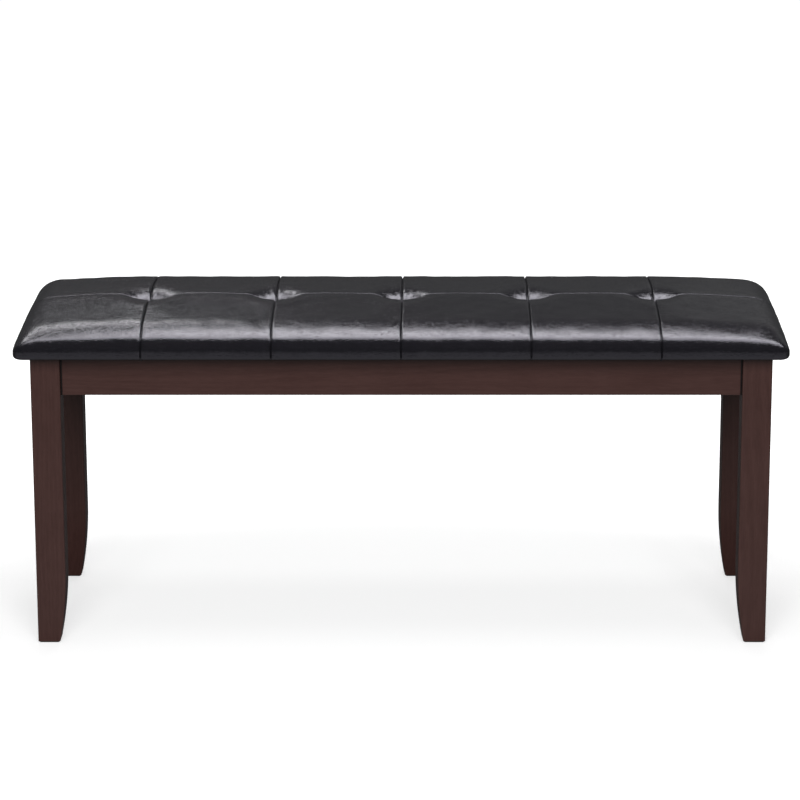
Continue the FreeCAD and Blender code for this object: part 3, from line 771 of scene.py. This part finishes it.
def edge_group():
    """A mask of the outer edges, where handling rubs a finish, broken up by noise."""
    graph, entry, out = shader_group(
        "edge_rub", {"Vector": ("Vector", None), "Width": ("Float", 0.0015)}, {"Rub": "Float"})
    rounded = graph.node("Bevel", {"samples": 4}, Radius=entry.outputs["Width"])
    flat = graph.node("NewGeometry")
    turned = graph.node("VectorMath", {"operation": "DOT_PRODUCT"})
    graph.feed(turned, 0, rounded.outputs["Normal"])
    graph.feed(turned, 1, flat.outputs["Normal"])
    edge = graph.remap(turned.outputs["Value"], 0.97, 0.80)
    patchy = graph.remap(graph.noise(entry.outputs["Vector"], 0.012, detail=3.0), 0.35, 0.65, 0.35, 1.0)
    graph.feed(out, "Rub", graph.math("MULTIPLY", edge, patchy))
    return graph.tree


def fibre_group():
    """Short tangled fibres, for felt, twine and non-woven cloth."""
    graph, entry, out = shader_group(
        "fibres", {"Vector": ("Vector", None), "Fibre": ("Float", 0.0004)},
        {"Height": "Float", "Tone": "Float"})
    scale = graph.math("DIVIDE", 1.0, entry.outputs["Fibre"])
    total = None
    for turn in (0.0, 1.05, 2.1):
        laid = graph.node("Mapping", Vector=entry.outputs["Vector"], Rotation=(0.0, 0.0, turn),
                          Scale=(1.0, 0.12, 1.0))
        strands = graph.node("TexNoise", Vector=laid.outputs["Vector"], Scale=scale, Detail=2.0,
                             Distortion=0.6)
        layer = graph.remap(strands.outputs["Fac"], 0.45, 0.7)
        total = layer if total is None else graph.math("MAXIMUM", total, layer)
    graph.feed(out, "Height", total)
    tone = graph.node("TexNoise", Vector=entry.outputs["Vector"], Scale=graph.math("MULTIPLY", scale, 0.2))
    graph.feed(out, "Tone", tone.outputs["Fac"])
    return graph.tree


# Finishes

def seat_leather(groups):
    """Black bonded leather: a fine pebble grain under a soft, slightly uneven gloss."""
    made, graph, shader = finish("seat_leather")
    place = graph.place()
    fine = graph.use(groups["pebble"], Vector=place, Cell=1.6 * MM, Warp=0.5)
    broad = graph.use(groups["pebble"], Vector=place, Cell=3.0 * MM, Warp=0.9)
    patches = graph.use(groups["mottle"], Vector=place, Patch=45 * MM, Low=0.13, High=0.17)
    rough = graph.math("ADD", patches.outputs["Value"],
                       graph.math("MULTIPLY", fine.outputs["Valley"], 0.10))
    worn = graph.math("MULTIPLY", fine.outputs["Height"],
                      graph.remap(fine.outputs["Tone"], 0.0, 1.0, 0.4, 1.0))
    graph.feed(shader, "Base Color", graph.mix(worn, (0.0050, 0.0048, 0.0060, 1),
                                               (0.0105, 0.0100, 0.0125, 1)))
    graph.feed(shader, "Roughness", rough)
    lumps = graph.bump(graph.math("MULTIPLY", broad.outputs["Height"], broad.outputs["Tone"]),
                       0.15 * MM, 1.0)
    graph.feed(shader, "Normal", graph.bump(worn, 0.03 * MM, 1.0, lumps))
    shader.inputs["Specular Tint"].default_value = LEATHER_SHEEN
    shader.inputs["Specular IOR Level"].default_value = LEATHER_SPECULAR
    return made


def wood_finish(name, groups, turn, dark, light, ring, shine, figure, pore_depth, rub_colour):
    """A wood finish whose grain follows the piece: turn lays the grain along its length."""
    made, graph, shader = finish(name)
    place = graph.place(turn=turn)
    grain = graph.use(groups["grain"], Vector=place, Ring=ring)
    patches = graph.use(groups["mottle"], Vector=place, Patch=60 * MM, Low=-0.16, High=0.16)
    rub = graph.use(groups["edge"], Vector=place, Width=1.6 * MM)
    tone = graph.math("ADD", graph.math("MULTIPLY", grain.outputs["Figure"], figure),
                      graph.math("MULTIPLY", grain.outputs["Streaks"], 1 - figure))
    tone = graph.math("ADD", tone, patches.outputs["Value"])
    colour = graph.mix(tone, dark, light)
    colour = graph.mix(graph.math("MULTIPLY", grain.outputs["Pores"], 0.35), colour, dark)
    colour = graph.mix(graph.math("MULTIPLY", rub.outputs["Rub"], 0.5), colour, rub_colour)
    graph.feed(shader, "Base Color", colour)
    gloss = graph.math("ADD", graph.math("MULTIPLY", tone, -0.08), shine)
    gloss = graph.math("ADD", gloss, graph.math("MULTIPLY", grain.outputs["Pores"], 0.12))
    graph.feed(shader, "Roughness", gloss)
    height = graph.math("SUBTRACT", graph.math("MULTIPLY", grain.outputs["Streaks"], 0.4),
                        grain.outputs["Pores"])
    graph.feed(shader, "Normal", graph.bump(height, pore_depth, 0.7))
    shader.inputs["Specular IOR Level"].default_value = WOOD_SPECULAR
    return made


def espresso_wood(groups, name, turn):
    """Dark stained wood under a satin lacquer, for the legs and the aprons."""
    return wood_finish("frame_wood_" + name, groups, turn, dark=(0.0360, 0.0155, 0.0130, 1),
                       light=(0.0540, 0.0250, 0.0215, 1), ring=7 * MM, shine=0.46, figure=0.25,
                       pore_depth=0.02 * MM, rub_colour=(0.074, 0.035, 0.028, 1))


def paint_joint_shade(made, axis, joint):
    """Paint shade into a wood finish at both ends of a rail, where it meets a leg: a dark band of painted
    shade for the joint.
    """
    graph = Graph(made.node_tree)
    shader = made.node_tree.nodes["Principled BSDF"]
    point = graph.node("SeparateXYZ", Vector=graph.node("TexCoord").outputs["Object"])
    from_middle = graph.math("ABSOLUTE", point.outputs[axis])
    # Painted shade: fully dark at the rail's end, fading out over the joint width
    painted_shade_mask = graph.remap(from_middle, joint - JOINT_WIDTH, joint - JOINT_FULL_WIDTH)
    colour = shader.inputs["Base Color"].links[0].from_socket
    graph.feed(shader, "Base Color", graph.mix(painted_shade_mask, colour, JOINT_PAINTED_SHADE))
    return made


def pale_wood(groups, name, turn):
    """Unfinished wood, for the pieces inside the frame."""
    return wood_finish("inner_wood_" + name, groups, turn, dark=(0.30, 0.17, 0.085, 1),
                       light=(0.50, 0.34, 0.19, 1), ring=4.5 * MM, shine=0.66, figure=0.6,
                       pore_depth=0.06 * MM, rub_colour=(0.42, 0.27, 0.14, 1))


def plywood(groups):
    """Rotary-cut veneer on the faces and its layers on the edges."""
    made, graph, shader = finish("plywood")
    place = graph.place(turn=(0.0, math.pi / 2, 0.0))
    grain = graph.use(groups["grain"], Vector=place, Ring=16 * MM, Waver=1.8)
    veneer = graph.mix(grain.outputs["Figure"], (0.38, 0.24, 0.12, 1), (0.56, 0.41, 0.24, 1))
    veneer = graph.mix(graph.math("MULTIPLY", grain.outputs["Streaks"], 0.3), veneer,
                       (0.45, 0.30, 0.17, 1))
    height = graph.node("SeparateXYZ", Vector=graph.node("TexCoord").outputs["Object"]).outputs["Z"]
    ply = graph.math("FRACT", graph.math("DIVIDE", height, PLY_PAIR))
    layer = graph.remap(ply, 0.47, 0.53)
    layers = graph.mix(layer, (0.50, 0.36, 0.21, 1), (0.27, 0.16, 0.085, 1))
    facing = graph.node("SeparateXYZ", Vector=graph.node("NewGeometry").outputs["Normal"])
    on_face = graph.remap(graph.math("ABSOLUTE", facing.outputs["Z"]), 0.4, 0.6)
    graph.feed(shader, "Base Color", graph.mix(on_face, layers, veneer))
    graph.feed(shader, "Roughness", graph.remap(grain.outputs["Streaks"], 0.0, 1.0, 0.62, 0.78))
    relief = graph.math("ADD", grain.outputs["Streaks"], graph.math("MULTIPLY", layer, 0.8))
    graph.feed(shader, "Normal", graph.bump(relief, 0.12 * MM, 0.6))
    return made


def seat_padding(groups):
    """Pale open-celled foam, yellowed in patches."""
    made, graph, shader = finish("foam")
    place = graph.place()
    cells = graph.use(groups["pebble"], Vector=place, Cell=1.1 * MM, Warp=0.6)
    patches = graph.use(groups["mottle"], Vector=place, Patch=90 * MM)
    colour = graph.mix(patches.outputs["Value"], (0.78, 0.70, 0.46, 1), (0.70, 0.58, 0.32, 1))
    colour = graph.mix(graph.math("MULTIPLY", cells.outputs["Valley"], 0.4), colour,
                       (0.45, 0.36, 0.19, 1))
    graph.feed(shader, "Base Color", colour)
    graph.feed(shader, "Roughness", graph.remap(cells.outputs["Tone"], 0.0, 1.0, 0.85, 0.97))
    graph.feed(shader, "Normal", graph.bump(cells.outputs["Height"], 0.35 * MM, 0.8))
    return made


def dust_cloth(groups):
    """Thin black non-woven cloth: tangled fibres pressed together at a grid of dots."""
    made, graph, shader = finish("dust_cloth")
    place = graph.place()
    fibres = graph.use(groups["fibre"], Vector=place, Fibre=0.5 * MM)
    sides = graph.node("SeparateXYZ", Vector=place)
    waves = [graph.math("SINE", graph.math("MULTIPLY", axis, math.tau / (DOT_SPACING * math.sqrt(2))))
             for axis in (graph.math("ADD", sides.outputs["X"], sides.outputs["Y"]),
                          graph.math("SUBTRACT", sides.outputs["X"], sides.outputs["Y"]))]
    dots = graph.remap(graph.math("MULTIPLY", waves[0], waves[1]), 0.35, 0.75)
    colour = graph.mix(fibres.outputs["Height"], (0.008, 0.008, 0.009, 1), (0.026, 0.026, 0.028, 1))
    graph.feed(shader, "Base Color", graph.mix(dots, colour, (0.010, 0.010, 0.011, 1)))
    graph.feed(shader, "Roughness", graph.remap(dots, 0.0, 1.0, 0.88, 0.55))
    height = graph.math("SUBTRACT", graph.math("MULTIPLY", fibres.outputs["Height"], 0.5), dots)
    graph.feed(shader, "Normal", graph.bump(height, 0.12 * MM, 0.8))
    return made


def tuft_twine(groups):
    """Waxed twine: two strands twisted round each other, with loose fibres."""
    made, graph, shader = finish("twine")
    sides = graph.node("SeparateXYZ", Vector=graph.node("NewGeometry").outputs["Normal"])
    around = graph.math("DIVIDE", graph.math("ARCTAN2", sides.outputs["Y"], sides.outputs["X"]), math.pi)
    height = graph.node("SeparateXYZ", Vector=graph.place()).outputs["Z"]
    turns = graph.math("ADD", around, graph.math("DIVIDE", height, TWINE_LAY))
    strand = graph.math("PINGPONG", turns, 0.5)
    fibres = graph.use(groups["fibre"], Vector=graph.place(), Fibre=0.25 * MM)
    colour = graph.mix(graph.remap(strand, 0.0, 0.35), (0.23, 0.20, 0.15, 1), (0.58, 0.54, 0.45, 1))
    graph.feed(shader, "Base Color", graph.mix(graph.math("MULTIPLY", fibres.outputs["Height"], 0.3),
                                               colour, (0.70, 0.66, 0.56, 1)))
    graph.feed(shader, "Roughness", graph.remap(fibres.outputs["Tone"], 0.3, 0.7, 0.55, 0.75))
    relief = graph.math("ADD", graph.math("MULTIPLY", strand, 2.0), fibres.outputs["Height"])
    graph.feed(shader, "Normal", graph.bump(relief, 0.12 * MM, 0.9))
    return made


def foot_felt_finish(groups):
    """Dense dark felt, dusty where it meets the floor."""
    made, graph, shader = finish("foot_felt")
    place = graph.place()
    fibres = graph.use(groups["fibre"], Vector=place, Fibre=0.35 * MM)
    colour = graph.mix(fibres.outputs["Height"], (0.016, 0.013, 0.012, 1), (0.050, 0.043, 0.038, 1))
    low = graph.remap(graph.node("SeparateXYZ", Vector=place).outputs["Z"], 0.0, 1.2 * MM, 0.5, 0.0)
    graph.feed(shader, "Base Color", graph.mix(low, colour, (0.085, 0.080, 0.074, 1)))
    graph.feed(shader, "Roughness", graph.remap(fibres.outputs["Tone"], 0.3, 0.7, 0.86, 0.98))
    graph.feed(shader, "Normal", graph.bump(fibres.outputs["Height"], 0.2 * MM, 0.8))
    return made


def zinc_steel(groups):
    """Zinc-plated steel: bluish, finely scratched and duller in patches."""
    made, graph, shader = finish("zinc_steel")
    place = graph.place()
    scratches = graph.use(groups["fibre"], Vector=place, Fibre=0.18 * MM)
    patches = graph.use(groups["mottle"], Vector=place, Patch=7 * MM)
    rub = graph.use(groups["edge"], Vector=place, Width=0.4 * MM)
    colour = graph.mix(patches.outputs["Value"], (0.50, 0.52, 0.56, 1), (0.64, 0.64, 0.62, 1))
    graph.feed(shader, "Base Color", graph.mix(rub.outputs["Rub"], colour, (0.74, 0.74, 0.73, 1)))
    shader.inputs["Metallic"].default_value = 1.0
    gloss = graph.math("ADD", graph.remap(patches.outputs["Value"], 0.0, 1.0, 0.26, 0.42),
                       graph.math("MULTIPLY", scratches.outputs["Height"], 0.10))
    graph.feed(shader, "Roughness", gloss)
    graph.feed(shader, "Normal", graph.bump(scratches.outputs["Height"], 0.01 * MM, 0.6))
    return made


def dress(nodes, made):
    """Give a finish to CAD nodes that keep their own shape."""
    for node in nodes:
        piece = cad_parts[node]
        piece.data.materials.clear()
        piece.data.materials.append(made)


def nodes_named(start):
    return [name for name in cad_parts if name.startswith(start)]


# Light, floor and camera

def by_ray(graph, seen, glossy, diffuse):
    """One value for the camera's rays, one for reflections and one for the rest."""
    rays = graph.node("LightPath")
    value = graph.remap(rays.outputs["Is Glossy Ray"], 0.0, 1.0, diffuse, glossy)
    return graph.remap(rays.outputs["Is Camera Ray"], 0.0, 1.0, value, seen)


def set_world():
    """White to the camera, and a dim even studio to everything else."""
    world = bpy.data.worlds.new("studio")
    bpy.context.scene.world = world
    world.use_nodes = True
    graph = Graph(world.node_tree)
    around = world.node_tree.nodes["Background"]
    around.inputs["Color"].default_value = WORLD_COLOUR
    graph.feed(around, "Strength", by_ray(graph, WORLD_WHITE, STUDIO_GLOSSY, STUDIO_DIFFUSE))


def area_light(name, place, aim, size, radiance, turn=0.0, in_reflections=True):
    """A flat soft light of an even radiance: seen in reflections only, or lighting only."""
    lamp = bpy.data.lights.new(name, "AREA")
    lamp.shape = "RECTANGLE"
    lamp.size, lamp.size_y = size
    lamp.energy = radiance * math.pi * size[0] * size[1]
    light = new_object(name, lamp)
    light.location = place
    direction = Vector(aim) - Vector(place)
    light.rotation_euler = direction.to_track_quat("-Z", "Y").to_euler()
    light.rotation_euler.rotate_axis("Z", turn)
    light.visible_glossy = in_reflections
    light.visible_diffuse = not in_reflections
    return light


def studio_floor():
    """A pale floor that reads as white, with a soft shadow that is partly cast and partly painted by a
    dimmer glow near the bench, and isn't seen from below.
    """
    half = FLOOR_SIZE / 2
    points = [(-half, -half, 0), (half, -half, 0), (half, half, 0), (-half, half, 0)]
    floor = mesh_piece("studio_floor", points, [(0, 1, 2, 3)], smooth=False)
    made, graph, shader = finish("pale_floor")
    graph.feed(shader, "Base Color", by_ray(graph, *FLOOR_COLOUR))
    shader.inputs["Roughness"].default_value = 0.9
    shader.inputs["Specular IOR Level"].default_value = 0.0
    seen, glossy, diffuse = FLOOR_GLOW
    # Painted shade: the camera's glow is dimmer round the bench and brightens outwards through the shadow
    # zone
    away = graph.node("VectorMath", {"operation": "LENGTH"}, Vector=graph.place(SHADOW_STRETCH))
    seen = graph.remap(away.outputs["Value"], *SHADOW_ZONE, seen, FLOOR_GLOW_FAR)
    depth = graph.node("SeparateXYZ", Vector=graph.place()).outputs["Y"]
    glossy = graph.remap(depth, *FRONT_FLOOR, glossy, FLOOR_GLOW_BEHIND)
    graph.feed(shader, "Emission Strength", by_ray(graph, seen, glossy, diffuse))
    shader.inputs["Emission Color"].default_value = (1, 1, 1, 1)
    from_below = graph.node("NewGeometry").outputs["Backfacing"]
    graph.feed(shader, "Alpha", graph.math("SUBTRACT", 1.0, from_below))
    floor.data.materials.append(made)


def set_camera():
    """A long lens that looks down on the bench from the front."""
    lens = bpy.data.cameras.new("camera")
    lens.sensor_width = SENSOR
    lens.lens = LENS
    lens.shift_x = CAMERA_SHIFT
    lens.clip_end = CAMERA_FAR
    camera = new_object("camera", lens)
    camera.location = CAMERA_PLACE
    camera.rotation_euler = (math.pi / 2 - CAMERA_TILT, 0, 0)
    bpy.context.scene.camera = camera


def set_lights():
    """Three boxes and two dim cards that the leather mirrors, and three lamps that only light.

    Each has its place, the point that it faces, its size and its radiance.
    """
    area_light("overhead_box", (0.70, 0.75, 2.45), (0.70, 0.75, 0.0), (2.9, 0.75), 7.6, BOX_TURN)
    area_light("forward_box", (-0.15, 0.38, 2.45), (-0.15, 0.38, 0.0), (2.9, 0.85), 5.0, BOX_TURN)
    area_light("rear_left_box", (-1.15, 2.1, 2.14), (-0.5, 0.0, 0.45), (1.4, 0.44), 5.2)
    area_light("rear_card", (0.0, 3.4, 1.7), (0.0, 0.0, 0.45), (6.0, 1.8), 0.06)
    area_light("right_card", (1.6, 3.0, 1.5), (0.5, 0.0, 0.45), (2.0, 1.0), 0.10)
    area_light("overhead_soft", (0, 0, 2.6), (0, 0, 0), (2.4, 1.6), 3.2, in_reflections=False)
    area_light("front_fill", (0, -3.7, 2.5), (0, 0, 0.2), (3.0, 2.4), 9.6, in_reflections=False)
    area_light("rear_fill", (0, 3.7, 2.5), (0, 0, 0.2), (3.0, 2.4), 3.0, in_reflections=False)


def put_in_place(piece, slot, made, *nodes):
    """Give a new piece its material and its body, and hide the nodes it stands for. The slot is not used.
    """
    piece.data.materials.append(made)
    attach(piece, "root")
    if nodes:
        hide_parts(*nodes)


def upholster(groups):
    """The soft pieces: leather, foam and dust cover, each in place of its CAD solid."""
    cover = leather_cover()
    put_in_place(cover, "seat_leather", seat_leather(groups), "seat_cover")
    padding = seat_foam()
    put_in_place(padding, "foam", seat_padding(groups), "seat_foam")
    cloth = dust_cover()
    put_in_place(cloth, "dust_cloth", dust_cloth(groups), "dust_cover")


def dress_frame(groups):
    """Finishes for the CAD nodes that stay, with the grain along each piece of wood."""
    along_x, along_y, upright = (0.0, math.pi / 2, 0.0), (math.pi / 2, 0.0, 0.0), (0.0, 0.0, 0.0)
    diagonal = (0.0, math.pi / 2, math.pi / 4)
    dress(nodes_named("leg"), espresso_wood(groups, "upright", upright))
    dress(["apron_front", "apron_rear"],
          paint_joint_shade(espresso_wood(groups, "long", along_x), "X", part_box("apron_front")[1].x))
    dress(["apron_left", "apron_right"],
          paint_joint_shade(espresso_wood(groups, "short", along_y), "Y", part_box("apron_right")[1].y))
    dress(nodes_named("corner_block_f") + nodes_named("corner_block_r"),
          pale_wood(groups, "blocks", diagonal))
    dress(nodes_named("seat_slat"), pale_wood(groups, "slats", along_y))
    dress(["frame_dowels"], pale_wood(groups, "dowels", along_x))
    dress(["seat_board"], plywood(groups))
    dress(["tuft_ties"], tuft_twine(groups))


def main():
    groups = {"mottle": mottle_group(), "pebble": pebble_group(), "grain": grain_group(),
              "edge": edge_group(), "fibre": fibre_group()}
    upholster(groups)
    dress_frame(groups)
    steel = zinc_steel(groups)
    put_in_place(staples(), "zinc_steel", steel)
    dress(["hanger_bolts", "flat_washers", "spring_washers", "hex_nuts", "corner_block_screws",
           "slat_screws", "seat_screws_long", "seat_screws_short"], steel)
    felt = foot_felt_finish(groups)
    for node in nodes_named("foot_pad"):
        put_in_place(foot_felt(node), "foot_felt", felt, node)

    set_world()
    studio_floor()
    set_lights()
    set_camera()
    bpy.context.scene.view_settings.view_transform = "Standard"


main()
